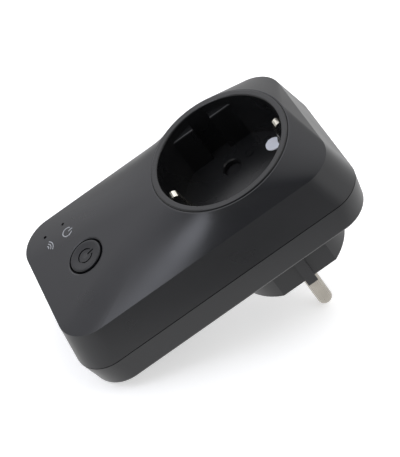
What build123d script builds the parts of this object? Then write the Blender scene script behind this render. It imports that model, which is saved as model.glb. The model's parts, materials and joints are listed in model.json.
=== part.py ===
from build123d import *
import math
import os

# Smart mains plug: a round earthed socket on the front, a two-pin plug on the back,
# and a switching board with a push button in the long end between them.
#
# Everything is modelled lying on its back: X across, Y along toward the socket end,
# Z out of the wall, with Z = 0 on the end face of the plug, where the two pins leave it.
# upright() then stands each piece up as it hangs on a wall: socket end up (+Z),
# front face toward -Y, pins toward +Y.

os.makedirs("parts", exist_ok=True)

# ---- driving sizes, mm ----
back_height = 18.0
parting_height = 28.9
crease_height = 43.3
collar_height = 49.35
rim_height = 49.8
parting_gap = 0.3

back_half_width = 25.3
parting_half_width = 26.4
crease_half_width = 25.8
back_socket_end = 27.2
parting_socket_end = 28.6
crease_socket_end = 25.6
back_button_end = -67.4
parting_button_end = -68.5
crease_button_end = -65.9
corner_radius = 10.5
wall = 2.0
floor_wall = 2.2
back_edge_round = 1.4

collar_radius = 22.3
collar_bore_radius = 21.93
collar_side_angle = 72.9
ring_radius = 21.8
recess_radius = 19.8
recess_wall = 1.2
recess_depth = 17.5
recess_floor = 2.0
insert_ledge_height = 47.9
rib_face = 16.9

pin_spacing = 19.0
pin_radius = 2.4
pin_length = 19.0
pin_neck_radius = 2.3
pin_bore_radius = 2.33
pin_hole_radius = 2.8

plug_radius = 18.6
plug_flat = 16.0
plug_rib_width = 3.4
plug_end_wall = 2.5
plug_side_wall = 2.1
plug_flange_radius = 20.5
plug_flange_height = 19.2
cap_radius = 2.5
cap_place = (-7.2, 14.0)

button_along = -49.26
button_radius = 5.35
button_hole_radius = 5.8
button_travel = 0.4
dish_depth = 0.24
dish_sphere_radius = 42.0
control_board_depth = 8.6
control_board_thickness = 1.6

power_board_height = 22.4
power_board_thickness = 1.6

screw_places = [(19.8, 20.5), (-19.8, 20.5), (20.6, -33.0), (-20.6, -33.0)]
seat_height = 25.6

shutter_opening_angle = 40.0

# ---- heights and places that follow from them ----
recess_floor_top = rim_height - recess_depth
recess_floor_bottom = recess_floor_top - recess_floor
recess_outer_radius = recess_radius + recess_wall
inner_floor = back_height + floor_wall
pin_x = pin_spacing / 2
board_top = power_board_height + power_board_thickness
carrier_bottom = inner_floor + 0.1
carrier_top = carrier_bottom + 2.1

ramp_rise = collar_height - crease_height
ramp_run = -collar_radius - crease_button_end
ramp_tilt = math.degrees(math.atan2(ramp_rise, ramp_run))
button_height = crease_height + (button_along - crease_button_end) * ramp_rise / ramp_run


def upright(shape):
    return Rot(90, 0, 0) * shape


def on_ramp(across, up_ramp, depth):
    """A place on the sloping front: up_ramp runs toward the socket, depth goes into the case."""
    tilt = Rot(ramp_tilt, 0, 0)
    return Pos(0, button_along, button_height) * tilt * Pos(across, up_ramp, -depth)


def save(shape, node):
    piece = upright(shape)
    piece.label = node
    export_step(piece, "parts/" + node + ".step")


def rounded_box(half_width, low_y, high_y, height, radius):
    """A rounded rectangle face across the case at the given height."""
    outline = RectangleRounded(2 * half_width, high_y - low_y, radius)
    return Pos(0, (low_y + high_y) / 2, height) * outline


def crease_outline(half_width, low_y, high_y, height, radius):
    """The rounded rectangle where the drafted walls meet the sloping front."""
    a = half_width - radius
    mid = radius * (1 - math.sqrt(0.5))
    right = [
        ThreePointArc((a, low_y), (half_width - mid, low_y + mid), (half_width, low_y + radius)),
        Line((half_width, low_y + radius), (half_width, high_y - radius)),
        ThreePointArc((half_width, high_y - radius), (half_width - mid, high_y - mid), (a, high_y))]
    left = [mirror(edge, Plane.YZ) for edge in right]
    ends = [Line((-a, low_y), (a, low_y)), Line((-a, high_y), (a, high_y))]
    return Pos(0, 0, height) * make_face(right + left + ends)


def collar_outline(radius, height):
    """The collar's circle, cut so that each long side of the crease meets a long arc of it."""
    def on_circle(degrees):
        angle = math.radians(degrees)
        return (0.02 + radius * math.cos(angle), radius * math.sin(angle))
    right = [ThreePointArc(on_circle(first), on_circle((first + last) / 2), on_circle(last))
             for first, last in ((-90, -collar_side_angle), (-collar_side_angle, 0), (0, 90))]
    left = [mirror(edge, Plane.YZ) for edge in right]
    ends = [Line((-0.02, -radius), (0.02, -radius)), Line((-0.02, radius), (0.02, radius))]
    return Pos(0, 0, height) * make_face(right + left + ends)


def cylinder(radius, low, high, x=0.0, y=0.0):
    return Pos(x, y, (low + high) / 2) * Cylinder(radius, high - low)


def block(x0, x1, y0, y1, z0, z1):
    middle = Pos((x0 + x1) / 2, (y0 + y1) / 2, (z0 + z1) / 2)
    return middle * Box(x1 - x0, y1 - y0, z1 - z0)


def hull_band(low_face, high_face):
    return loft([low_face, high_face], ruled=True)


def strip(points, thickness, width):
    """A flat metal strip bent along points (y, z), as wide as width across the case."""
    profile = trace(Polyline(*points), line_width=thickness)
    return extrude(Plane.YZ * profile, amount=width / 2, both=True)


def wire(points, radius):
    path = Spline(*points)
    section = Plane(origin=path @ 0, z_dir=path % 0) * Circle(radius)
    return sweep(section, path)


# ---- covers ----
def case_upper_solid(inset, drop):
    """The front half of the case: drafted walls, then a front that falls away from the collar."""
    low = rounded_box(
        parting_half_width - inset, parting_button_end + inset, parting_socket_end - inset,
        parting_height, corner_radius - inset)
    crease = crease_outline(
        crease_half_width - inset, crease_button_end + inset, crease_socket_end - inset,
        crease_height - drop, corner_radius - inset)
    collar = collar_outline(collar_radius - 0.85 * inset, collar_height - drop)
    return hull_band(low, crease) + hull_band(crease, collar)


def case_lower_solid(inset, low, high):
    """The back half of the case between two heights, narrowing toward the wall."""
    def outline(height):
        part_way = (height - back_height) / (parting_height - back_height)
        half_width = back_half_width + part_way * (parting_half_width - back_half_width)
        low_y = back_button_end + part_way * (parting_button_end - back_button_end)
        high_y = back_socket_end + part_way * (parting_socket_end - back_socket_end)
        return rounded_box(half_width - inset, low_y + inset, high_y - inset, height,
                           corner_radius - inset)
    return hull_band(outline(low), outline(high))


def make_front_cover():
    outer = case_upper_solid(0, 0)
    cavity = case_upper_solid(wall, 2.1)
    cover = outer - cavity
    cover -= block(-40, 40, -80, 40, parting_height - 1, parting_height + parting_gap / 2)
    # The tongue of the rear cover stands inside this rebate.
    rebate_low = parting_height - 1
    rebate = case_lower_solid(0.95, back_height + 9, parting_height + 1.9)
    cover -= rebate & block(-40, 40, -80, 40, rebate_low, parting_height + 1.9)
    # The collar, its ledge under the socket ring, and the bore through both.
    skirt = cylinder(collar_radius, 45.4, rim_height - 1.9)
    cover += skirt & outer
    cover -= cylinder(collar_bore_radius, insert_ledge_height, rim_height + 1)
    cover -= cylinder(recess_outer_radius + 0.15, 40, rim_height)
    for x, y in screw_places:
        post = cylinder(3.0, parting_height + 0.15, rim_height, x, y) & outer
        cover += post - cylinder(recess_outer_radius + 0.3, 20, 60)
        cover -= cylinder(1.27, 20, 41.0, x, y)
    # Bosses for the control board screws.
    for across, up_ramp in ((-14.0, 8.0), (14.5, -10.0)):
        boss = on_ramp(across, up_ramp, (control_board_depth - 0.05 + 1.0) / 2) * Cylinder(
            1.9, control_board_depth - 0.05 - 1.0)
        cover += boss
        cover -= on_ramp(across, up_ramp, control_board_depth - 2.0) * Cylinder(0.78, 4.1)
    # Button opening with its edge eased in two steps, and the two light openings.
    cover -= on_ramp(0, 0, 1.5) * Cylinder(button_hole_radius, 6)
    cover -= on_ramp(0, 0, 0.2) * Cone(button_hole_radius, button_hole_radius + 0.24, 0.6)
    cover -= on_ramp(0, 0, 0.01) * Cone(button_hole_radius + 0.08, button_hole_radius + 0.98, 0.30)
    for across, up_ramp in ((-18.0, -1.8), (-18.65, -8.6)):
        cover -= on_ramp(across, up_ramp, 1.5) * Cylinder(0.55, 8)
    return cover


def make_rear_cover():
    body = case_lower_solid(0, back_height, parting_height - parting_gap / 2)
    back_edges = body.edges().group_by(Axis.Z)[0]
    body = fillet(back_edges, back_edge_round)
    tongue = case_lower_solid(1.05, back_height + 6, parting_height + 1.6)
    cover = body + tongue
    cover -= case_lower_solid(wall, inner_floor, parting_height + 3)
    # The plug body drops in from inside and its flange rests in this stepped hole.
    cover -= cylinder(plug_radius + 0.1, back_height - 1, plug_flange_height + 0.5)
    cover -= cylinder(plug_flange_radius + 0.1, plug_flange_height, inner_floor + 1)
    for x, y in screw_places:
        cover += cylinder(3.0, back_height + 1, parting_height + 0.1, x, y)
        cover -= cylinder(2.7, back_height - 1, seat_height - 2.0, x, y)
        cover -= cylinder(1.5, back_height, parting_height + 1, x, y)
    for x, y in ((17.6, -59.0), (-17.6, -59.0), (13.0, -26.0), (-13.0, -26.0)):
        cover += cylinder(1.8, inner_floor - 0.5, power_board_height - 0.05, x, y)
    return cover


def make_plug_body():
    """The round plug with two side flats and a guide rib down each flat."""
    flange_low = plug_flange_height + 0.02
    flange_top = inner_floor - 0.05
    outline = Polyline((0, 0), (plug_radius, 0), (plug_radius, flange_low), (plug_flange_radius, flange_low),
                       (plug_flange_radius, flange_top), (0, flange_top), (0, 0))
    body = revolve(Plane.XZ * make_face(outline), Axis.Z)
    for x in (-24, plug_flat):
        for y in (-24, plug_rib_width / 2):
            body -= block(x, x + 24 - plug_flat, y, y + 24 - plug_rib_width / 2, -1, back_height)
    body = chamfer(body.edges().group_by(Axis.Z)[0], 0.5)
    hollow = cylinder(plug_radius - plug_side_wall, plug_end_wall, inner_floor + 1)
    flat_inside = plug_flat - plug_side_wall
    body -= hollow & block(-flat_inside, flat_inside, -30, 30, 0, 60)
    for x in (-pin_x, pin_x):
        body += cylinder(4.2, 1, 5.5, x)
        body -= cylinder(pin_bore_radius, -1, 6, x)
        body -= cylinder(pin_radius + 0.05, -1, 0.6, x)
    # Side grooves for the earth contacts and the slots their legs pass through.
    for side in (-1, 1):
        groove = block(-3.2, 3.2, 17.5, 20, 1.6, 16.6)
        slot = block(-2.3, 2.3, 12, 20, 14.4, 15.6)
        if side < 0:
            groove = mirror(groove, Plane.XZ)
            slot = mirror(slot, Plane.XZ)
        body -= groove
        body -= slot
    return body


def make_housing_screws():
    screws = []
    for x, y in screw_places:
        head = cylinder(2.5, seat_height - 3.8, seat_height - 2.05, x, y)
        shank = cylinder(1.25, seat_height - 2.1, 40.0, x, y)
        slot_a = block(x - 1.5, x + 1.5, y - 0.3, y + 0.3, seat_height - 5, seat_height - 2.9)
        slot_b = block(x - 0.3, x + 0.3, y - 1.5, y + 1.5, seat_height - 5, seat_height - 2.9)
        screws.append(head + shank - slot_a - slot_b)
    return Compound(children=screws)


# ---- socket ----
def make_socket_insert():
    cup = cylinder(recess_outer_radius, recess_floor_bottom, rim_height - 0.5)
    ring = cylinder(ring_radius, insert_ledge_height + 0.1, rim_height)
    insert = cup + ring
    insert -= cylinder(recess_radius, recess_floor_top, rim_height + 1)
    mouth = insert.edges().filter_by(GeomType.CIRCLE).group_by(Axis.Z)[-1]
    insert = fillet(mouth, 0.45)
    # Two guide ribs on each side wall, which enter the side flats of a plug.
    for side in (-1, 1):
        for along in (-1, 1):
            rib = block(rib_face, 20.2, 3.1, 10.6, recess_floor_top - 0.5, rim_height - 3.2)
            rib = fillet(rib.edges().filter_by(Axis.Y).group_by(Axis.Z)[-1].sort_by(Axis.X)[0], 0.5)
            if side < 0:
                rib = mirror(rib, Plane.YZ)
            if along < 0:
                rib = mirror(rib, Plane.XZ)
            insert += rib & cylinder(recess_radius + 0.4, 0, 60)
    for x in (-pin_x, pin_x):
        insert -= cylinder(pin_hole_radius, 20, recess_floor_top + 3, x)
        insert -= Pos(x, 0, recess_floor_top - 0.2) * Cone(pin_hole_radius, pin_hole_radius + 0.4, 0.4)
    # Slots the earth clips rise through.
    for side in (-1, 1):
        slot = block(-2.4, 2.4, 17.6, 19.75, 20, recess_floor_top + 3)
        insert -= slot if side > 0 else mirror(slot, Plane.XZ)
    # Small raised ring on the floor, and the seat and hole of the fixing screw.
    ring_mark = cylinder(1.5, recess_floor_top - 0.3, recess_floor_top + 0.4, -10.1, 6.4)
    ring_mark -= cylinder(1.0, recess_floor_top, recess_floor_top + 1, -10.1, 6.4)
    insert += ring_mark
    insert -= cylinder(cap_radius + 0.05, recess_floor_top - 1.3, recess_floor_top + 2, *cap_place)
    insert -= cylinder(1.1, 20, recess_floor_top + 2, *cap_place)
    # The post the shutter turns on.
    insert += cylinder(2.0, 26.7, recess_floor_bottom + 0.5)
    return insert


def make_recess_screw():
    x, y = cap_place
    head = cylinder(2.0, recess_floor_top - 1.25, recess_floor_top - 0.45, x, y)
    shank = cylinder(1.0, carrier_top + 0.6, recess_floor_top - 1.2, x, y)
    slot = block(x - 1.5, x + 1.5, y - 0.3, y + 0.3, recess_floor_top - 0.8, recess_floor_top)
    return head + shank - slot


def make_screw_cap():
    cap = cylinder(cap_radius, recess_floor_top - 0.4, recess_floor_top + 0.25, *cap_place)
    return fillet(cap.edges().group_by(Axis.Z)[-1], 0.2)


def make_contact_carrier():
    plate = cylinder(19.2, carrier_bottom, carrier_top)
    for x in (-pin_x, pin_x):
        plate -= cylinder(3.1, 10, 40, x)
    plate += cylinder(2.9, carrier_top - 0.5, 26.5)
    # The post the recess screw is driven into.
    plate += cylinder(2.2, carrier_top - 0.5, recess_floor_bottom - 0.1, *cap_place)
    plate -= cylinder(1.02, carrier_top + 0.5, 40, *cap_place)
    # Slots for the supply wires and the earth legs.
    for x in (-8.2, 8.2):
        plate -= block(x - 1.6, x + 1.6, -15.0, -10.2, 10, 40)
    for side in (-1, 1):
        slot = block(-2.3, 2.3, 10.9, 12.9, 10, 40)
        plate -= slot if side > 0 else mirror(slot, Plane.XZ)
    # Low walls that hold each contact.
    for x in (-pin_x, pin_x):
        plate += block(x - 4.6, x + 4.6, 3.9, 4.9, carrier_top - 0.5, 25.4)
    return plate


def make_contact(side):
    x = side * pin_x
    base = block(x - 3.4, x + 3.4, -3.3, 3.3, carrier_top + 0.05, carrier_top + 0.65)
    base += block(x - 1.5, x + 1.5, -8.5, -3.0, carrier_top + 0.05, carrier_top + 0.65)
    base -= cylinder(2.9, 10, 40, x)
    leaf = Pos(x, 0, 0) * strip([(3.0, carrier_top + 0.05), (3.0, 23.6), (2.9, 26.0), (3.5, 28.2)], 0.5, 5.0)
    return base + leaf + mirror(leaf, Plane.XZ)


def make_earth_strap():
    """One strip under the recess floor, its two narrow ends bent over as spring clips."""
    low = carrier_top + 0.35
    foot = strip([(0, low), (19.35, low), (19.35, 29.0)], 0.5, 4.4)
    clip = strip([(19.35, 28.0), (19.35, 44.2), (19.27, 44.7), (19.03, 45.1), (18.7, 45.35),
                  (18.3, 45.4), (17.8, 45.27), (17.35, 44.97), (17.05, 44.5), (16.93, 43.9),
                  (16.45, 39.6), (15.6, 37.4), (15.55, 36.9), (15.7, 36.5), (17.0, 34.4)], 0.5, 2.6)
    arm = foot + clip
    strap = arm + mirror(arm, Plane.XZ)
    strap += cylinder(4.5, low - 0.25, low + 0.25)
    strap -= cylinder(3.1, 10, 40)
    return strap


def make_plug_earth_contacts():
    leaf = strip([(17.9, 3.0), (18.2, 8.0), (17.9, 15.0), (12.0, 15.0), (12.0, carrier_top)], 0.5, 4.2)
    return Compound(children=[leaf, mirror(leaf, Plane.XZ)])


def make_shutter():
    """A two-bladed disc that covers both pin holes and turns aside when a plug enters."""
    low, high = 28.6, recess_floor_bottom - 0.2
    hub = cylinder(4.0, low, high)
    disc = cylinder(13.2, low, high)
    half_angle = 20.5
    reach = 20.0
    tip = reach * math.tan(math.radians(half_angle))
    sector = extrude(make_face(Polyline((0, 0), (reach, tip), (reach, -tip), (0, 0))), amount=60)
    blades = (disc & sector) + (disc & (Rot(0, 0, 180) * sector))
    shutter = hub + blades
    # The leading edge of each blade is sloped so that two pins together push it round.
    for turn in (0, 180):
        edge = Pos(8.8, 0, 0) * Box(10.4, 3.0, 3.0)
        edge = Rot(0, 0, half_angle) * Pos(0, 1.05, high + 0.25) * Rot(-40, 0, 0) * edge
        shutter -= Rot(0, 0, turn) * edge
    shutter += hub - cylinder(1.0, 0, 60)
    return shutter - cylinder(2.06, 0, 60)


def make_shutter_spring():
    coil_path = Helix(pitch=0.55, height=1.65, radius=3.2)
    start = coil_path @ 0
    section = Plane(origin=start, z_dir=coil_path % 0) * Circle(0.2)
    return Pos(0, 0, 26.75) * sweep(section, coil_path, is_frenet=True)


# ---- plug pins and wires ----
def make_pin(side):
    x = side * pin_x
    pin = cylinder(pin_radius, -pin_length, -0.05, x)
    pin = fillet(pin.edges().group_by(Axis.Z)[0], 1.9)
    # A thinner neck runs through the end wall, held by a head on the inside.
    pin += cylinder(pin_neck_radius, -0.1, 5.6, x)
    pin += cylinder(3.6, 5.55, 6.5, x)
    pin += cylinder(1.4, 6.4, 8.2, x)
    return pin


def make_supply_wire(side):
    x = side * pin_x
    tag = cylinder(3.4, 6.55, 7.15, x) - cylinder(1.45, 5, 9, x)
    tag += block(x - 1.3, x + 1.3, -6.4, -2.6, 6.55, 7.15)
    rise = side * 8.2
    path = [(x, -5.4, 8.2), (rise, -10.2, 9.6), (rise, -11.8, 13.5), (rise, -11.8, 20.6),
            (rise, -15.0, 25.0), (rise, -20.0, 25.9), (rise, -24.0, board_top + 1.0)]
    return tag + wire(path, 0.95)


def make_output_wire(side):
    x = side * pin_x
    level = carrier_top + 0.65
    inner = side * 4.6
    path = [(x, -7.0, level + 0.75), (side * 6.6, -9.5, level + 1.2), (inner, -14.0, 24.6),
            (inner, -20.5, 25.4), (inner, -24.0, board_top + 0.8)]
    return wire(path, 0.75)


# ---- power board ----
def make_power_board():
    wide = RectangleRounded(42.0, 24.6, 4.0)
    neck = Rectangle(33.0, 15.4)
    outline = Pos(0, -49.8) * wide + Pos(0, -30.2) * neck
    board = extrude(outline, amount=power_board_thickness)
    board = Pos(0, 0, power_board_height) * board
    for x, y in screw_places[2:]:
        board -= cylinder(3.3, 0, 60, x, y)
    return board


relay_low = board_top + 0.05
relay_y = -30.6
relay_width = 20.4
relay_deep = 10.0
relay_high = 15.2


def make_relay_case():
    box = block(-relay_width / 2, relay_width / 2, relay_y - relay_deep / 2, relay_y + relay_deep / 2,
                relay_low, relay_low + relay_high)
    box = fillet(box.edges().filter_by(Axis.Z), 0.6)
    t = 0.8
    inside = block(-relay_width / 2 + t, relay_width / 2 - t, relay_y - relay_deep / 2 + t,
                   relay_y + relay_deep / 2 - t, relay_low + 1.0, relay_low + relay_high - t)
    return box - inside


def make_relay_coil():
    z = relay_low + 4.8
    core = Rot(0, 90, 0) * Cylinder(1.3, 11.0)
    winding = Rot(0, 90, 0) * Cylinder(3.1, 7.6)
    ends = Pos(-4.3, 0, 0) * (Rot(0, 90, 0) * Cylinder(3.6, 1.0))
    ends += Pos(4.3, 0, 0) * (Rot(0, 90, 0) * Cylinder(3.6, 1.0))
    return Pos(-1.5, relay_y, z) * (core + winding + ends)


def make_relay_frame():
    low = relay_low + 1.05
    frame = block(-8.9, -7.6, relay_y - 3.2, relay_y + 3.2, low, low + 9.2)
    frame += block(-8.9, 3.2, relay_y - 3.2, relay_y + 3.2, low + 8.2, low + 9.2)
    return frame


def make_relay_armature():
    low = relay_low + 1.6
    plate = block(4.6, 5.6, relay_y - 2.8, relay_y + 2.8, low, low + 7.9)
    arm = block(4.6, 5.2, relay_y - 1.4, relay_y + 1.4, low + 7.8, low + 11.2)
    return plate + arm


def make_relay_contacts():
    low = relay_low + 1.05
    blade = block(8.0, 8.5, relay_y - 1.6, relay_y + 1.6, low, low + 11.6)
    blade += Pos(7.7, relay_y, low + 10.0) * (Rot(0, 90, 0) * Cylinder(0.9, 0.7))
    return blade


def make_transformer_core():
    low = board_top + 0.05
    core = block(-15.0, -3.0, -46.5, -41.5, low + 1.0, low + 10.0)
    core -= block(-13.2, -4.8, -50, -38, low + 2.8, low + 8.2)
    core += block(-10.4, -7.6, -46.5, -41.5, low + 2.7, low + 8.3)
    return core


def make_transformer_winding():
    low = board_top + 0.05
    shell = block(-13.0, -5.0, -49.0, -39.2, low + 3.0, low + 8.0)
    shell = fillet(shell.edges().filter_by(Axis.Z), 1.6)
    shell -= block(-10.6, -7.4, -60, -30, low + 2.7, low + 8.3)
    keep_clear = block(-13.1, -4.9, -46.6, -41.4, low + 8.1, low + 12)
    feet = block(-12.6, -5.4, -49.4, -47.2, low, low + 3.4)
    feet += block(-12.6, -5.4, -40.8, -38.6, low, low + 3.4)
    return shell + feet - keep_clear


def make_electrolytic_capacitors():
    cans = []
    for x in (5.4, 15.0):
        can = Pos(x, -56.0, board_top + 4.1) * (Rot(90, 0, 0) * Cylinder(4.0, 11.0))
        can -= Pos(x, -60.2, board_top + 4.1) * (Rot(90, 0, 0) * (Cylinder(4.2, 0.7) - Cylinder(3.7, 0.7)))
        cans.append(can)
    return Compound(children=cans)


def make_film_capacitor():
    box = block(-19.6, -7.2, -60.6, -54.6, board_top + 0.05, board_top + 8.4)
    return fillet(box.edges(), 0.5)


def make_varistor():
    disc = Pos(14.6, -42.0, board_top + 4.6) * (Rot(90, 0, 0) * Cylinder(4.2, 3.4))
    disc = fillet(disc.edges(), 1.0)
    disc += block(12.0, 12.6, -42.3, -41.7, board_top + 0.05, board_top + 2.0)
    disc += block(16.6, 17.2, -42.3, -41.7, board_top + 0.05, board_top + 2.0)
    return disc


def make_fuse_resistor():
    z = board_top + 2.0
    body = Pos(-8.0, -51.8, z) * (Rot(0, 90, 0) * Cylinder(1.7, 8.0))
    body = fillet(body.edges(), 0.6)
    body += Pos(-8.0, -51.8, z) * (Rot(0, 90, 0) * Cylinder(0.35, 13.0))
    body += cylinder(0.35, board_top + 0.05, z, -14.2, -51.8)
    body += cylinder(0.35, board_top + 0.05, z, -1.8, -51.8)
    return body


def make_bridge_rectifier():
    body = block(2.2, 6.8, -46.0, -42.0, board_top + 0.35, board_top + 2.8)
    for x in (3.2, 5.8):
        body += block(x - 0.35, x + 0.35, -47.0, -41.0, board_top + 0.05, board_top + 0.5)
    return body


def make_pin_header():
    body = block(-1.0, 11.7, -39.6, -37.3, board_top + 0.05, board_top + 2.6)
    for i in range(5):
        x = 0.27 + i * 2.54
        body += block(x - 0.32, x + 0.32, -38.75, -38.1, board_top + 0.05, 36.6)
    return body


# ---- control board ----
def make_control_board():
    board = extrude(RectangleRounded(41.0, 23.0, 3.0), amount=control_board_thickness)
    board = on_ramp(0, -0.5, control_board_depth + control_board_thickness) * board
    for across, up_ramp in ((-14.0, 8.0), (14.5, -10.0)):
        board -= on_ramp(across, up_ramp, control_board_depth) * Cylinder(0.9, 6)
    return board


def make_board_screws():
    screws = []
    under = control_board_depth + control_board_thickness + 0.05
    for across, up_ramp in ((-14.0, 8.0), (14.5, -10.0)):
        head = on_ramp(across, up_ramp, under + 0.45) * Cylinder(1.6, 0.9)
        shank = on_ramp(across, up_ramp, under - 2.4) * Cylinder(0.75, 5.0)
        screws.append(head + shank)
    return Compound(children=screws)


def ramp_block(u0, u1, v0, v1, deep, shallow):
    box = Box(u1 - u0, v1 - v0, deep - shallow)
    return on_ramp((u0 + u1) / 2, (v0 + v1) / 2, (deep + shallow) / 2) * box


def make_wifi_board():
    return ramp_block(6.9, 18.9, -7.6, 8.4, control_board_depth - 0.05, control_board_depth - 0.85)


def make_wifi_shield():
    can = ramp_block(7.7, 18.1, -3.4, 7.8, control_board_depth - 0.9, control_board_depth - 3.1)
    can -= ramp_block(7.9, 17.9, -3.2, 7.6, control_board_depth, control_board_depth - 2.9)
    return can


switch_body_high = 2.5
plunger_radius = 1.7


def make_switch_body():
    top = control_board_depth - switch_body_high
    body = ramp_block(-3.0, 3.0, -3.0, 3.0, control_board_depth - 0.05, top)
    body -= on_ramp(0, 0, top + 1.05) * Cylinder(plunger_radius + 0.05, 2.1)
    for u in (-2.3, 2.3):
        body += on_ramp(u, 2.3, top + 0.1) * Cylinder(0.35, 0.4)
        body += on_ramp(u, -2.3, top + 0.1) * Cylinder(0.35, 0.4)
    return body


def make_switch_plunger():
    top = control_board_depth - switch_body_high - 0.7
    return on_ramp(0, 0, top + 1.0) * Cylinder(plunger_radius, 2.0)


def make_power_button():
    proud = 0.3
    cap = on_ramp(0, 0, (2.6 - proud) / 2) * Cylinder(button_radius, 2.6 + proud)
    cap = fillet(cap.edges().group_by(Axis.Z)[-1], 0.45)
    cap += on_ramp(0, 0, 2.95) * Cylinder(6.5, 1.0)
    stem_end = control_board_depth - switch_body_high - 0.75
    cap += on_ramp(0, 0, (3.0 + stem_end) / 2) * Cylinder(1.6, stem_end - 3.0)
    # A hollow face with the stand-by mark cut into it.
    cap -= on_ramp(0, 0, -proud - dish_sphere_radius + dish_depth) * Sphere(dish_sphere_radius)
    mark = Circle(2.55) - Circle(2.1) - Pos(0, 2.2) * Rectangle(1.8, 2.4)
    mark += Pos(0, 1.95) * Rectangle(0.5, 2.3)
    cap -= on_ramp(0, 0, 0.25) * extrude(mark, amount=1.0)
    return cap


def make_status_leds():
    leds = []
    for across, up_ramp in ((-18.0, -1.8), (-18.65, -8.6)):
        base = on_ramp(across, up_ramp, control_board_depth - 0.35) * Box(1.6, 0.9, 0.6)
        lens = on_ramp(across, up_ramp, control_board_depth - 0.8) * Box(1.2, 0.8, 0.5)
        leds.append(base + lens)
    return Compound(children=leds)


def make_light_guides():
    guides = []
    for across, up_ramp in ((-18.0, -1.8), (-18.65, -8.6)):
        low = control_board_depth - 1.2
        rod = on_ramp(across, up_ramp, (low + 0.7) / 2) * Cylinder(0.5, low - 0.7)
        flange = on_ramp(across, up_ramp, low - 0.4) * Cylinder(1.3, 0.8)
        guides.append(rod + flange)
    return Compound(children=guides)


save(make_front_cover(), "front_cover")
save(make_rear_cover(), "rear_cover")
save(make_plug_body(), "plug_body")
save(make_housing_screws(), "housing_screws")
save(make_socket_insert(), "socket_insert")
save(make_recess_screw(), "recess_screw")
save(make_screw_cap(), "screw_cap")
save(make_contact_carrier(), "contact_carrier")
save(make_contact(1), "live_contact")
save(make_contact(-1), "neutral_contact")
save(make_earth_strap(), "earth_strap")
save(make_plug_earth_contacts(), "plug_earth_contacts")
save(make_shutter(), "shutter")
save(make_shutter_spring(), "shutter_spring")
save(make_pin(1), "live_pin")
save(make_pin(-1), "neutral_pin")
save(make_supply_wire(1), "live_supply_wire")
save(make_supply_wire(-1), "neutral_supply_wire")
save(make_output_wire(1), "live_output_wire")
save(make_output_wire(-1), "neutral_output_wire")
save(make_power_board(), "power_board")
save(make_relay_case(), "relay_case")
save(make_relay_coil(), "relay_coil")
save(make_relay_frame(), "relay_frame")
save(make_relay_armature(), "relay_armature")
save(make_relay_contacts(), "relay_contacts")
save(make_transformer_core(), "transformer_core")
save(make_transformer_winding(), "transformer_winding")
save(make_electrolytic_capacitors(), "electrolytic_capacitors")
save(make_film_capacitor(), "film_capacitor")
save(make_varistor(), "varistor")
save(make_fuse_resistor(), "fuse_resistor")
save(make_bridge_rectifier(), "bridge_rectifier")
save(make_pin_header(), "pin_header")
save(make_control_board(), "control_board")
save(make_board_screws(), "board_screws")
save(make_wifi_board(), "wifi_board")
save(make_wifi_shield(), "wifi_shield")
save(make_switch_body(), "switch_body")
save(make_switch_plunger(), "switch_plunger")
save(make_power_button(), "power_button")
save(make_status_leds(), "status_leds")
save(make_light_guides(), "light_guides")
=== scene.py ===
import json
import math

import bmesh
import bpy
from mathutils import Matrix, Vector
from mathutils.bvhtree import BVHTree


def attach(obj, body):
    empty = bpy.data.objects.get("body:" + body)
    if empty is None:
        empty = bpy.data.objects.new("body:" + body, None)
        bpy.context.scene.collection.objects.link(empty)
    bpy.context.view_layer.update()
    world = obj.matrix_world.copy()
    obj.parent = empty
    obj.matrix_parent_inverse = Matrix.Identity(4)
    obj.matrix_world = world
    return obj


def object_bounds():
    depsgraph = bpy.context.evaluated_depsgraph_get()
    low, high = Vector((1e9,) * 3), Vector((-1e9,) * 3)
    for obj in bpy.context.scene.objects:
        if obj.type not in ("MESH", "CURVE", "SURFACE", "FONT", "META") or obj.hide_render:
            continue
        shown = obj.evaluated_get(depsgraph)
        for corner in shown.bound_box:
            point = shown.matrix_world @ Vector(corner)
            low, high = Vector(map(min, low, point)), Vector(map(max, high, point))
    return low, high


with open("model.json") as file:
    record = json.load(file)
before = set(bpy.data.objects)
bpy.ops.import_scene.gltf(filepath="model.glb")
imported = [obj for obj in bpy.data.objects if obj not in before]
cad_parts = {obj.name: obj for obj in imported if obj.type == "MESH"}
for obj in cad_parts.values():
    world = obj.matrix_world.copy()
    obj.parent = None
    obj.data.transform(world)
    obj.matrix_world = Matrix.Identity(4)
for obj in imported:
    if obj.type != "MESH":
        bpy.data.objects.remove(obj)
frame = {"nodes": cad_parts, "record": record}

bl_info = {
    "name": "Smart plug finisher",
    "version": (1, 0, 0),
    "blender": (4, 5, 0),
    "location": "View3D > Sidebar > Plug",
    "description": "Finishes the plug-in mains adapter and sets up its studio",
    "category": "Object",
}

CAD_LOW, CAD_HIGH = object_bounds()

# Where the printed marks are centred on the sloping front (across, up the case), and the
# height in mm that their outlines are drawn for.
POWER_MARK_PLACE = (-0.01362, -0.05085)
WIRELESS_MARK_PLACE = (-0.01389, -0.05895)
DRAWN_MARK_HEIGHT = 3.3
INK_HALF_THICKNESS = 0.00002

# How far the floor reaches from the object on each side, and the gap kept under the object.
FLOOR_REACH = 3.0
FLOOR_GAP = 0.00005

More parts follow.
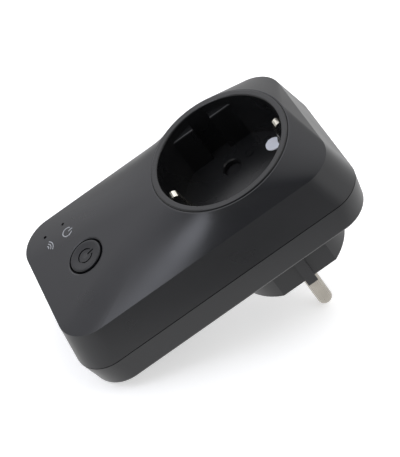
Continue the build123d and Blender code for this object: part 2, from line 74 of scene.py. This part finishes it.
# Parts of the soft tent that are brighter or darker than the rest:
# direction, angle of the full patch, angle where it has faded out, change in brightness, tint.
TENT_PATCHES = (
    ((0.087, -0.950, -0.301), 8.0, 23.0, 2.95, (0.94, 0.97, 1.09)),
    ((-0.646, -0.733, 0.213), 5.0, 50.0, 0.86, (0.98, 0.98, 1.05)),
    ((-0.537, -0.766, -0.354), 6.4, 16.7, -0.51, (1.0, 1.0, 1.0)),
    ((0.88, -0.45, 0.12), 22.0, 50.0, -0.50, (1.0, 1.0, 1.0)),
    ((0.0, -0.35, 0.93), 20.0, 55.0, 0.35, (1.0, 1.0, 1.0)),
)
DARKEST_TENT = (0.05, 0.05, 0.05)


# ---------------------------------------------------------------- settings
class PlugCaseSettings(bpy.types.PropertyGroup):
    case_colour: bpy.props.FloatVectorProperty(
        name="Case colour", description="Colour of the two covers and the plug body",
        default=(0.0100, 0.0105, 0.0128), subtype="COLOR", size=3)
    # Painted shade: the socket insert is set a little darker than the case, so that the recess inside
    # the socket looks deeper in shade.
    insert_colour_with_painted_shade: bpy.props.FloatVectorProperty(
        name="Socket colour", description="Colour of the socket insert, darkened as painted recess shade",
        default=(0.0085, 0.0088, 0.0095), subtype="COLOR", size=3)
    case_roughness: bpy.props.FloatProperty(
        name="Case roughness", description="How satin the covers are",
        default=0.30, subtype="FACTOR")
    edge_round: bpy.props.FloatProperty(
        name="Edge rounding", description="Width of the broken edges on mouldings",
        default=0.00018, unit="LENGTH")
    mark_colour: bpy.props.FloatVectorProperty(
        name="Mark colour", description="Colour of the printed marks",
        default=(0.30, 0.31, 0.33), subtype="COLOR", size=3)
    mark_size: bpy.props.FloatProperty(
        name="Mark size", description="Height of a printed mark",
        default=0.0033, unit="LENGTH")


class PlugStudioSettings(bpy.types.PropertyGroup):
    floor_tilt: bpy.props.FloatProperty(
        name="Floor tilt",
        description="Slope of the floor that the pins and the lower edge rest on",
        default=math.radians(28.8), subtype="ANGLE")
    camera_place: bpy.props.FloatVectorProperty(
        name="Camera place", description="Where the camera stands",
        default=(0.3582, -0.3695, 0.0096), subtype="XYZ", unit="LENGTH", size=3)
    camera_aim: bpy.props.FloatVectorProperty(
        name="Camera aim", description="The point the camera looks at",
        default=(-0.00435, -0.0240, -0.0185), subtype="XYZ", unit="LENGTH", size=3)
    lens: bpy.props.FloatProperty(
        name="Lens", description="Focal length in millimetres", default=131.8)
    tent_level: bpy.props.FloatProperty(
        name="Tent level", description="Brightness of the soft tent around the object",
        default=0.70)
    floor_glow: bpy.props.FloatProperty(
        name="Floor glow", description="Light that the floor gives off by itself",
        default=0.50)


# ---------------------------------------------------------------- node groups
def new_group(name, inputs, outputs):
    """A shader node group with named sockets; returns it with its two end nodes."""
    group = bpy.data.node_groups.new(name, "ShaderNodeTree")
    for label, kind, default in inputs:
        socket = group.interface.new_socket(name=label, in_out="INPUT", socket_type=kind)
        if default is not None:
            socket.default_value = default
    for label, kind in outputs:
        group.interface.new_socket(name=label, in_out="OUTPUT", socket_type=kind)
    first = group.nodes.new("NodeGroupInput")
    last = group.nodes.new("NodeGroupOutput")
    return group, first, last


def math_node(tree, operation, a, b, clamp=False):
    """A sum on two values, each a number or another node's output."""
    node = tree.nodes.new("ShaderNodeMath")
    node.operation = operation
    node.use_clamp = clamp
    for socket, value in zip(node.inputs, (a, b)):
        if isinstance(value, (int, float)):
            socket.default_value = value
        else:
            tree.links.new(value, socket)
    return node.outputs[0]


def noise_node(tree, vector, scale, detail=3.0, roughness=0.5):
    node = tree.nodes.new("ShaderNodeTexNoise")
    node.inputs["Detail"].default_value = detail
    node.inputs["Roughness"].default_value = roughness
    if isinstance(scale, (int, float)):
        node.inputs["Scale"].default_value = scale
    else:
        tree.links.new(scale, node.inputs["Scale"])
    tree.links.new(vector, node.inputs["Vector"])
    return node.outputs["Fac"]


def build_edge_wear():
    """Mask that is 1 on broken edges and 0 on open faces."""
    group, first, last = new_group(
        "edge_wear",
        [("Width", "NodeSocketFloat", 0.0004), ("Amount", "NodeSocketFloat", 0.5)],
        [("Mask", "NodeSocketFloat")])
    bevel = group.nodes.new("ShaderNodeBevel")
    bevel.samples = 4
    group.links.new(first.outputs["Width"], bevel.inputs["Radius"])
    geometry = group.nodes.new("ShaderNodeNewGeometry")
    dot = group.nodes.new("ShaderNodeVectorMath")
    dot.operation = "DOT_PRODUCT"
    group.links.new(bevel.outputs["Normal"], dot.inputs[0])
    group.links.new(geometry.outputs["Normal"], dot.inputs[1])
    turned = math_node(group, "SUBTRACT", 1.0, dot.outputs["Value"], clamp=True)
    strong = math_node(group, "MULTIPLY", turned, 6.0, clamp=True)
    coords = group.nodes.new("ShaderNodeTexCoord")
    patchy = noise_node(group, coords.outputs["Object"], 420.0, 4.0)
    broken = math_node(group, "MULTIPLY", strong, patchy)
    out = math_node(group, "MULTIPLY", broken, first.outputs["Amount"], clamp=True)
    group.links.new(out, last.inputs["Mask"])
    return group


def build_fine_grain():
    """Spark-eroded mould texture: a fine even grain with a slow drift under it."""
    group, first, last = new_group(
        "fine_grain",
        [("Scale", "NodeSocketFloat", 4000.0)],
        [("Height", "NodeSocketFloat"), ("Drift", "NodeSocketFloat")])
    coords = group.nodes.new("ShaderNodeTexCoord")
    where = coords.outputs["Object"]
    fine = noise_node(group, where, first.outputs["Scale"], 2.0, 0.6)
    group.links.new(fine, last.inputs["Height"])
    slow = noise_node(group, where, 45.0, 3.0, 0.55)
    group.links.new(slow, last.inputs["Drift"])
    return group


def build_drawn_metal():
    """Fine scratches along one direction, as on a turned or drawn part."""
    group, first, last = new_group(
        "drawn_metal",
        [("Stretch", "NodeSocketVector", (1.0, 1.0, 1.0)), ("Scale", "NodeSocketFloat", 900.0)],
        [("Scratches", "NodeSocketFloat"), ("Cloud", "NodeSocketFloat")])
    coords = group.nodes.new("ShaderNodeTexCoord")
    stretch = group.nodes.new("ShaderNodeVectorMath")
    stretch.operation = "MULTIPLY"
    group.links.new(coords.outputs["Object"], stretch.inputs[0])
    group.links.new(first.outputs["Stretch"], stretch.inputs[1])
    lines = noise_node(group, stretch.outputs["Vector"], first.outputs["Scale"], 4.0, 0.7)
    group.links.new(lines, last.inputs["Scratches"])
    cloud = noise_node(group, coords.outputs["Object"], 160.0, 3.0)
    group.links.new(cloud, last.inputs["Cloud"])
    return group


def place_group(tree, name):
    node = tree.nodes.new("ShaderNodeGroup")
    node.node_tree = bpy.data.node_groups[name]
    return node


# ---------------------------------------------------------------- materials
def blank_material(name):
    material = bpy.data.materials.new(name)
    material.use_nodes = True
    tree = material.node_tree
    shader = tree.nodes["Principled BSDF"]
    return material, tree, shader


def ranged(tree, value, low, high, from_low=0.3, from_high=0.7):
    node = tree.nodes.new("ShaderNodeMapRange")
    node.inputs["From Min"].default_value = from_low
    node.inputs["From Max"].default_value = from_high
    node.inputs["To Min"].default_value = low
    node.inputs["To Max"].default_value = high
    tree.links.new(value, node.inputs["Value"])
    return node.outputs["Result"]


def blended(tree, factor, first_colour, second_colour):
    """A colour between two: each is a colour triple or another node's output."""
    node = tree.nodes.new("ShaderNodeMix")
    node.data_type = "RGBA"
    tree.links.new(factor, node.inputs["Factor"])
    for key, colour in (("A", first_colour), ("B", second_colour)):
        socket = [s for s in node.inputs if s.name == key and s.type == "RGBA"][0]
        if isinstance(colour, bpy.types.NodeSocket):
            tree.links.new(colour, socket)
        else:
            socket.default_value = (*colour[:3], 1.0)
    return [s for s in node.outputs if s.type == "RGBA"][0]


def scaled_colour(colour, factor):
    return tuple(min(1.0, channel * factor) for channel in colour[:3])


def add_bump(tree, shader, height, strength, distance):
    bump = tree.nodes.new("ShaderNodeBump")
    bump.inputs["Strength"].default_value = strength
    bump.inputs["Distance"].default_value = distance
    tree.links.new(height, bump.inputs["Height"])
    tree.links.new(bump.outputs["Normal"], shader.inputs["Normal"])


def moulded(name, colour, roughness=0.4, grain=0.10, scale=4000.0, wear=0.25,
            spread=0.10, specular=0.5):
    """Moulded plastic: grain, slow colour drift, and paler rubbed edges."""
    material, tree, shader = blank_material(name)
    grain_node = place_group(tree, "fine_grain")
    grain_node.inputs["Scale"].default_value = scale
    edge = place_group(tree, "edge_wear")
    edge.inputs["Amount"].default_value = wear
    drift = grain_node.outputs["Drift"]
    tinted = blended(tree, ranged(tree, drift, 0.0, 1.0),
                     scaled_colour(colour, 1 - spread), scaled_colour(colour, 1 + spread))
    worn = blended(tree, edge.outputs["Mask"], tinted,
                   tuple(min(1.0, c * 1.8 + 0.02) for c in colour[:3]))
    tree.links.new(worn, shader.inputs["Base Color"])
    rough = ranged(tree, drift, roughness - 0.04, roughness + 0.05)
    tree.links.new(rough, shader.inputs["Roughness"])
    add_bump(tree, shader, grain_node.outputs["Height"], grain, 0.00005)
    shader.inputs["Specular IOR Level"].default_value = specular
    return material


def metal(name, colour, roughness=0.25, stretch=(1.0, 0.05, 1.0), scale=1500.0):
    """Plated or bare metal with drawn scratches and faint clouding."""
    material, tree, shader = blank_material(name)
    drawn = place_group(tree, "drawn_metal")
    drawn.inputs["Stretch"].default_value = stretch
    drawn.inputs["Scale"].default_value = scale
    edge = place_group(tree, "edge_wear")
    edge.inputs["Amount"].default_value = 0.4
    cloud = drawn.outputs["Cloud"]
    tinted = blended(tree, ranged(tree, cloud, 0.0, 1.0),
                     scaled_colour(colour, 0.88), scaled_colour(colour, 1.06))
    worn = blended(tree, edge.outputs["Mask"], tinted, scaled_colour(colour, 1.25))
    tree.links.new(worn, shader.inputs["Base Color"])
    shader.inputs["Metallic"].default_value = 1.0
    rough = ranged(tree, drawn.outputs["Scratches"], roughness - 0.08, roughness + 0.10)
    tree.links.new(rough, shader.inputs["Roughness"])
    add_bump(tree, shader, drawn.outputs["Scratches"], 0.15, 0.00003)
    return material


def clear_plastic(name):
    """Smoked clear moulding of the light guides."""
    material, tree, shader = blank_material(name)
    grain_node = place_group(tree, "fine_grain")
    grain_node.inputs["Scale"].default_value = 900.0
    tint = blended(tree, ranged(tree, grain_node.outputs["Drift"], 0.0, 1.0),
                   (0.10, 0.11, 0.12), (0.16, 0.17, 0.18))
    tree.links.new(tint, shader.inputs["Base Color"])
    rough = ranged(tree, grain_node.outputs["Drift"], 0.08, 0.16)
    tree.links.new(rough, shader.inputs["Roughness"])
    shader.inputs["Transmission Weight"].default_value = 0.9
    add_bump(tree, shader, grain_node.outputs["Height"], 0.03, 0.00003)
    return material


def dress(node, material):
    """Gives a CAD node one material and returns the node's object."""
    piece = frame["nodes"][node]
    piece.data.materials.clear()
    piece.data.materials.append(material)
    return piece


def soften(piece, width):
    """Rounds the sharp edges of a moulding, so that they catch the light."""
    bevel = piece.modifiers.new("broken edges", "BEVEL")
    bevel.width = width
    bevel.segments = 2
    bevel.limit_method = "ANGLE"
    bevel.angle_limit = math.radians(40.0)
    bevel.harden_normals = False


def settings():
    return bpy.context.scene.plug_case


# ---------------------------------------------------------------- operators
class PLUG_OT_finishes(bpy.types.Operator):
    """Builds the shared grain, scratch and edge-wear groups"""
    bl_idname = "plug.finishes"
    bl_label = "Shared finishes"

    def execute(self, context):
        build_edge_wear()
        build_fine_grain()
        build_drawn_metal()
        return {"FINISHED"}


class PLUG_OT_case(bpy.types.Operator):
    """Finishes the front cover, the rear cover and the plug body"""
    bl_idname = "plug.case"
    bl_label = "Case"

    def execute(self, context):
        s = settings()
        satin = moulded("satin_case_black", s.case_colour, s.case_roughness, wear=0.12)
        for node in ("front_cover", "rear_cover", "plug_body"):
            soften(dress(node, satin), s.edge_round)
        return {"FINISHED"}


class PLUG_OT_socket(bpy.types.Operator):
    """Finishes the socket insert, its cap, clips, contacts and shutter"""
    bl_idname = "plug.socket"
    bl_label = "Socket"

    def execute(self, context):
        s = settings()
        # Painted shade: the insert's darker colour and lower specular stand in for the shade deep in
        # the socket recess.
        satin = moulded("satin_socket_black_painted_shade", s.insert_colour_with_painted_shade, 0.28, wear=0.12, specular=0.45)
        soften(dress("socket_insert", satin), s.edge_round * 0.7)
        white = moulded("white_cap_gloss", (0.89, 0.91, 0.98), 0.25, wear=0.0, spread=0.02)
        dress("screw_cap", white)
        dress("shutter", moulded("shutter_black", (0.008, 0.008, 0.009), 0.5, specular=0.25))
        dress("contact_carrier", moulded("carrier_grey", (0.10, 0.10, 0.11), 0.5))
        plated = metal("plated_strip", (0.78, 0.75, 0.66), 0.22, stretch=(0.05, 1.0, 1.0))
        dress("earth_strap", plated)
        dress("plug_earth_contacts", plated)
        brass = metal("contact_brass", (0.72, 0.52, 0.22), 0.28)
        for node in ("live_contact", "neutral_contact", "relay_contacts"):
            dress(node, brass)
        return {"FINISHED"}


def mark_plane():
    """The sloping front's outward, across and uphill directions, from the way the button moves."""
    joint = [j for j in frame["record"]["behaviour"]["joints"] if j["name"] == "button_press"][0]
    out = -Vector(joint["axis"]).normalized()
    across = Vector((1.0, 0.0, 0.0))
    uphill = across.cross(out)
    if uphill.z < 0:
        uphill = -uphill
    return out, across, uphill


def arc_outline(radius, width, first, last, steps=28):
    """A curved bar as two matching rows of (x, y) corners; angles in degrees, 90 is uphill."""
    angles = [math.radians(first + (last - first) * i / steps) for i in range(steps + 1)]
    outer = [((radius + width / 2) * math.cos(a), (radius + width / 2) * math.sin(a)) for a in angles]
    inner = [((radius - width / 2) * math.cos(a), (radius - width / 2) * math.sin(a)) for a in angles]
    return outer, inner


def bar_outline(x0, x1, y0, y1, steps=4):
    """A straight upright bar as two matching rows of (x, y) corners."""
    left = [(x0, y0 + (y1 - y0) * i / steps) for i in range(steps + 1)]
    right = [(x1, y0 + (y1 - y0) * i / steps) for i in range(steps + 1)]
    return left, right


def print_mark(name, place, bars, material, scale):
    """Lays flat bars of ink on the front cover: each bar is two matching rows of corners in mm."""
    out, across, uphill = mark_plane()
    cover = frame["nodes"]["front_cover"]
    corners = [cover.matrix_world @ vertex.co for vertex in cover.data.vertices]
    surface = BVHTree.FromPolygons(corners, [face.vertices[:] for face in cover.data.polygons])
    shape = bmesh.new()

    def laid(x, y, lift):
        start = Vector((place[0], CAD_LOW.y - 0.001, place[1])) + (across * x + uphill * y) * scale
        hit = surface.ray_cast(start, Vector((0.0, 1.0, 0.0)))[0]
        if hit is None:
            raise RuntimeError("the mark " + name + " misses the front cover")
        return shape.verts.new(hit + out * lift)

    for first, second in bars:
        top_a, top_b, low_a, low_b = [
            [laid(x, y, lift) for x, y in row]
            for lift in (INK_HALF_THICKNESS, -INK_HALF_THICKNESS) for row in (first, second)]
        for i in range(len(first) - 1):
            for one, two in ((top_a, top_b), (low_b, low_a), (top_b, low_b), (low_a, top_a)):
                shape.faces.new((one[i], one[i + 1], two[i + 1], two[i]))
        for i in (0, len(first) - 1):
            shape.faces.new((top_a[i], top_b[i], low_b[i], low_a[i]))
    bmesh.ops.recalc_face_normals(shape, faces=shape.faces)
    mesh = bpy.data.meshes.new(name)
    shape.to_mesh(mesh)
    shape.free()
    mesh.materials.append(material)
    piece = bpy.data.objects.new(name, mesh)
    bpy.context.scene.collection.objects.link(piece)
    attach(piece, "housing")
    return piece


class PLUG_OT_marks(bpy.types.Operator):
    """Prints the two small marks beside the status lights"""
    bl_idname = "plug.marks"
    bl_label = "Printed marks"

    def execute(self, context):
        s = settings()
        ink = moulded("pale_ink", s.mark_colour, 0.5, grain=0.3, scale=6000.0, wear=0.0)
        unit = s.mark_size / DRAWN_MARK_HEIGHT
        ring = arc_outline(radius=1.60, width=0.36, first=122, last=418)
        stem = bar_outline(x0=-0.18, x1=0.18, y0=0.45, y1=2.0)
        print_mark("power_mark", POWER_MARK_PLACE, [ring, stem], ink, unit)
        waves = [arc_outline(radius, width=0.30, first=42, last=138) for radius in (0.85, 1.68, 2.50)]
        print_mark("wireless_mark", WIRELESS_MARK_PLACE, waves, ink, unit)
        return {"FINISHED"}


class PLUG_OT_button(bpy.types.Operator):
    """Finishes the power button and the switch under it"""
    bl_idname = "plug.button"
    bl_label = "Button"

    def execute(self, context):
        s = settings()
        # Painted shade: the button and plunger get a darker, less shiny copy of the case plastic, which
        # stands in for the shading on the button's dished face.
        satin = moulded("satin_button_black_painted_shade", scaled_colour(s.case_colour, 0.8), 0.32,
                        wear=0.12, specular=0.42)
        soften(dress("power_button", satin), s.edge_round * 0.6)
        dress("switch_plunger", satin)
        dress("switch_body", moulded("switch_black", (0.02, 0.02, 0.02), 0.4))
        return {"FINISHED"}


class PLUG_OT_pins(bpy.types.Operator):
    """Finishes the plug pins and the wires behind them"""
    bl_idname = "plug.pins"
    bl_label = "Pins and wires"

    def execute(self, context):
        plated = metal("plated_pin", (0.47, 0.44, 0.39), 0.28, stretch=(1.0, 0.04, 1.0))
        for node in ("live_pin", "neutral_pin"):
            dress(node, plated)
        brown = moulded("brown_insulation", (0.16, 0.06, 0.03), 0.45, wear=0.0)
        blue = moulded("blue_insulation", (0.03, 0.13, 0.45), 0.45, wear=0.0)
        for node in ("live_supply_wire", "live_output_wire"):
            dress(node, brown)
        for node in ("neutral_supply_wire", "neutral_output_wire"):
            dress(node, blue)
        return {"FINISHED"}


class PLUG_OT_fixings(bpy.types.Operator):
    """Finishes the screws, springs and other small steel parts"""
    bl_idname = "plug.fixings"
    bl_label = "Screws and springs"

    def execute(self, context):
        zinc = metal("zinc_steel", (0.56, 0.57, 0.58), 0.32, stretch=(1.0, 1.0, 1.0), scale=700.0)
        for node in ("housing_screws", "recess_screw", "board_screws", "shutter_spring",
                     "relay_frame", "relay_armature"):
            dress(node, zinc)
        return {"FINISHED"}


class PLUG_OT_boards(bpy.types.Operator):
    """Finishes the two circuit boards and the parts on them"""
    bl_idname = "plug.boards"
    bl_label = "Boards"

    def execute(self, context):
        green = moulded("green_mask", (0.02, 0.17, 0.07), 0.3, scale=900.0, wear=0.0)
        dark = moulded("dark_mask", (0.02, 0.03, 0.06), 0.3, scale=900.0, wear=0.0)
        gloss = {
            "relay_case": ("relay_blue", (0.02, 0.10, 0.42)),
            "transformer_winding": ("tape_yellow", (0.85, 0.62, 0.08)),
            "electrolytic_capacitors": ("sleeve_black", (0.03, 0.03, 0.035)),
            "film_capacitor": ("film_yellow", (0.80, 0.58, 0.10)),
            "varistor": ("dipped_blue", (0.03, 0.20, 0.55)),
            "status_leds": ("lamp_clear", (0.85, 0.88, 0.80)),
        }
        for node, (name, colour) in gloss.items():
            dress(node, moulded(name, colour, 0.28, wear=0.1))
        cement = moulded("coated_grey", (0.30, 0.34, 0.33), 0.7, grain=0.3, scale=1500.0)
        dress("fuse_resistor", cement)
        package = moulded("package_black", (0.03, 0.03, 0.03), 0.5)
        for node in ("bridge_rectifier", "pin_header"):
            dress(node, package)
        ferrite = moulded("fired_ferrite", (0.09, 0.09, 0.095), 0.6, grain=0.4, scale=1200.0)
        dress("transformer_core", ferrite)
        copper = metal("copper_winding", (0.70, 0.33, 0.16), 0.3, stretch=(0.1, 1.0, 1.0), scale=4000.0)
        dress("relay_coil", copper)
        dress("wifi_shield", metal("tinned_can", (0.66, 0.67, 0.68), 0.3))
        dress("power_board", green)
        dress("control_board", dark)
        dress("wifi_board", dark)
        dress("light_guides", clear_plastic("clear_guide"))
        return {"FINISHED"}


# ---------------------------------------------------------------- stage
def floor_frame(tilt):
    """Axes of the floor in the object's frame: across, along it and straight up from it."""
    up = Vector((0.0, -math.cos(tilt), math.sin(tilt)))
    across = Vector((1.0, 0.0, 0.0))
    along = up.cross(across)
    return across, along, up


def lowest_reach(up):
    """How far down the object reaches, measured along the floor's upward direction."""
    return min(corner.co.dot(up) for piece in frame["nodes"].values()
               for corner in piece.data.vertices)


def stage_material(glow):
    """Pale and faintly glowing from above, clear from below; it mirrors dimmer away from the object."""
    material, tree, shader = blank_material("pale_floor")
    shader.inputs["Roughness"].default_value = 0.9
    shader.inputs["Specular IOR Level"].default_value = 0.1
    shader.inputs["Base Color"].default_value = (0.86, 0.86, 0.86, 1.0)
    shader.inputs["Emission Color"].default_value = (1.0, 1.0, 1.0, 1.0)
    shader.inputs["Emission Strength"].default_value = glow
    geometry = tree.nodes.new("ShaderNodeNewGeometry")
    split = tree.nodes.new("ShaderNodeSeparateXYZ")
    tree.links.new(geometry.outputs["Position"], split.inputs["Vector"])
    across, up_case = split.outputs["X"], split.outputs["Z"]
    to_right = ranged(tree, across, low=0.88, high=0.34, from_low=0.048, from_high=0.072)
    to_top = ranged(tree, up_case, low=0.30, high=1.15, from_low=0.015, from_high=0.110)
    to_left = ranged(tree, across, low=0.60, high=1.0, from_low=-0.45, from_high=-0.15)
    right_side = math_node(tree, "MAXIMUM", to_right, to_top)
    table = tree.nodes.new("ShaderNodeEmission")
    tree.links.new(math_node(tree, "MULTIPLY", right_side, to_left), table.inputs["Strength"])
    path = tree.nodes.new("ShaderNodeLightPath")
    seen = tree.nodes.new("ShaderNodeMixShader")
    tree.links.new(path.outputs["Is Glossy Ray"], seen.inputs["Fac"])
    tree.links.new(shader.outputs["BSDF"], seen.inputs[1])
    tree.links.new(table.outputs["Emission"], seen.inputs[2])
    clear = tree.nodes.new("ShaderNodeBsdfTransparent")
    mix = tree.nodes.new("ShaderNodeMixShader")
    out = tree.nodes["Material Output"]
    tree.links.new(geometry.outputs["Backfacing"], mix.inputs["Fac"])
    tree.links.new(seen.outputs["Shader"], mix.inputs[1])
    tree.links.new(clear.outputs["BSDF"], mix.inputs[2])
    tree.links.new(mix.outputs["Shader"], out.inputs["Surface"])
    return material


def hang_tent(level):
    """An even white surround with softer and stronger patches fixed to the object's own directions."""
    world = bpy.data.worlds.new("soft_tent")
    world.use_nodes = True
    tree = world.node_tree
    coords = tree.nodes.new("ShaderNodeTexCoord")
    total = None
    for axis, inner, outer, change, tint in TENT_PATCHES:
        dot = tree.nodes.new("ShaderNodeVectorMath")
        dot.operation = "DOT_PRODUCT"
        tree.links.new(coords.outputs["Generated"], dot.inputs[0])
        dot.inputs[1].default_value = Vector(axis).normalized()
        patch = tree.nodes.new("ShaderNodeMapRange")
        patch.interpolation_type = "SMOOTHSTEP"
        patch.inputs["From Min"].default_value = math.cos(math.radians(outer))
        patch.inputs["From Max"].default_value = math.cos(math.radians(inner))
        patch.inputs["To Max"].default_value = change
        tree.links.new(dot.outputs["Value"], patch.inputs["Value"])
        added = tree.nodes.new("ShaderNodeVectorMath")
        added.operation = "MULTIPLY_ADD"
        tree.links.new(patch.outputs["Result"], added.inputs[0])
        added.inputs[1].default_value = tint
        if total is None:
            added.inputs[2].default_value = (level, level, level)
        else:
            tree.links.new(total, added.inputs[2])
        total = added.outputs["Vector"]
    never_dark = tree.nodes.new("ShaderNodeVectorMath")
    never_dark.operation = "MAXIMUM"
    tree.links.new(total, never_dark.inputs[0])
    never_dark.inputs[1].default_value = DARKEST_TENT
    tree.links.new(never_dark.outputs["Vector"], tree.nodes["Background"].inputs["Color"])
    return world


class PLUG_OT_stage(bpy.types.Operator):
    """Lays the pale floor, hangs the soft tent and sets the camera"""
    bl_idname = "plug.stage"
    bl_label = "Studio"

    def execute(self, context):
        studio = context.scene.plug_studio
        across, along, up = floor_frame(studio.floor_tilt)
        base = up * (lowest_reach(up) - FLOOR_GAP)
        mesh = bpy.data.meshes.new("studio_floor")
        shape = bmesh.new()
        corners = [shape.verts.new(base + (across * a + along * b) * FLOOR_REACH)
                   for a, b in ((-1, -1), (1, -1), (1, 1), (-1, 1))]
        face = shape.faces.new(corners)
        face.normal_update()
        if face.normal.dot(up) < 0:
            face.normal_flip()
        shape.to_mesh(mesh)
        shape.free()
        mesh.materials.append(stage_material(studio.floor_glow))
        floor = bpy.data.objects.new("studio_floor", mesh)
        context.scene.collection.objects.link(floor)

        context.scene.world = hang_tent(studio.tent_level)
        context.scene.view_settings.view_transform = "Standard"

        data = bpy.data.cameras.new("studio_camera")
        data.sensor_width = 36.0
        data.lens = studio.lens
        data.clip_start = 0.01
        data.clip_end = 20.0
        camera = bpy.data.objects.new("studio_camera", data)
        context.scene.collection.objects.link(camera)
        place = Vector(studio.camera_place)
        ahead = (Vector(studio.camera_aim) - place).normalized()
        right = ahead.cross(up).normalized()
        top = right.cross(ahead)
        turn = Matrix((right, top, -ahead)).transposed()
        camera.matrix_world = Matrix.Translation(place) @ turn.to_4x4()
        context.scene.camera = camera
        return {"FINISHED"}


class PLUG_PT_panel(bpy.types.Panel):
    """Lists the finishing steps in order"""
    bl_idname = "PLUG_PT_panel"
    bl_label = "Smart plug"
    bl_space_type = "VIEW_3D"
    bl_region_type = "UI"
    bl_category = "Plug"

    def draw(self, context):
        for step in STEPS:
            self.layout.operator(step.bl_idname)


STEPS = (PLUG_OT_finishes, PLUG_OT_case, PLUG_OT_socket, PLUG_OT_marks, PLUG_OT_button,
         PLUG_OT_pins, PLUG_OT_fixings, PLUG_OT_boards, PLUG_OT_stage)
CLASSES = (PlugCaseSettings, PlugStudioSettings, *STEPS, PLUG_PT_panel)


def register():
    for cls in CLASSES:
        bpy.utils.register_class(cls)
    bpy.types.Scene.plug_case = bpy.props.PointerProperty(type=PlugCaseSettings)
    bpy.types.Scene.plug_studio = bpy.props.PointerProperty(type=PlugStudioSettings)


def unregister():
    del bpy.types.Scene.plug_studio
    del bpy.types.Scene.plug_case
    for cls in reversed(CLASSES):
        bpy.utils.unregister_class(cls)


def main():
    register()
    bpy.ops.plug.finishes()
    bpy.ops.plug.case()
    bpy.ops.plug.socket()
    bpy.ops.plug.marks()
    bpy.ops.plug.button()
    bpy.ops.plug.pins()
    bpy.ops.plug.fixings()
    bpy.ops.plug.boards()
    bpy.ops.plug.stage()


if __name__ == "__main__":
    main()
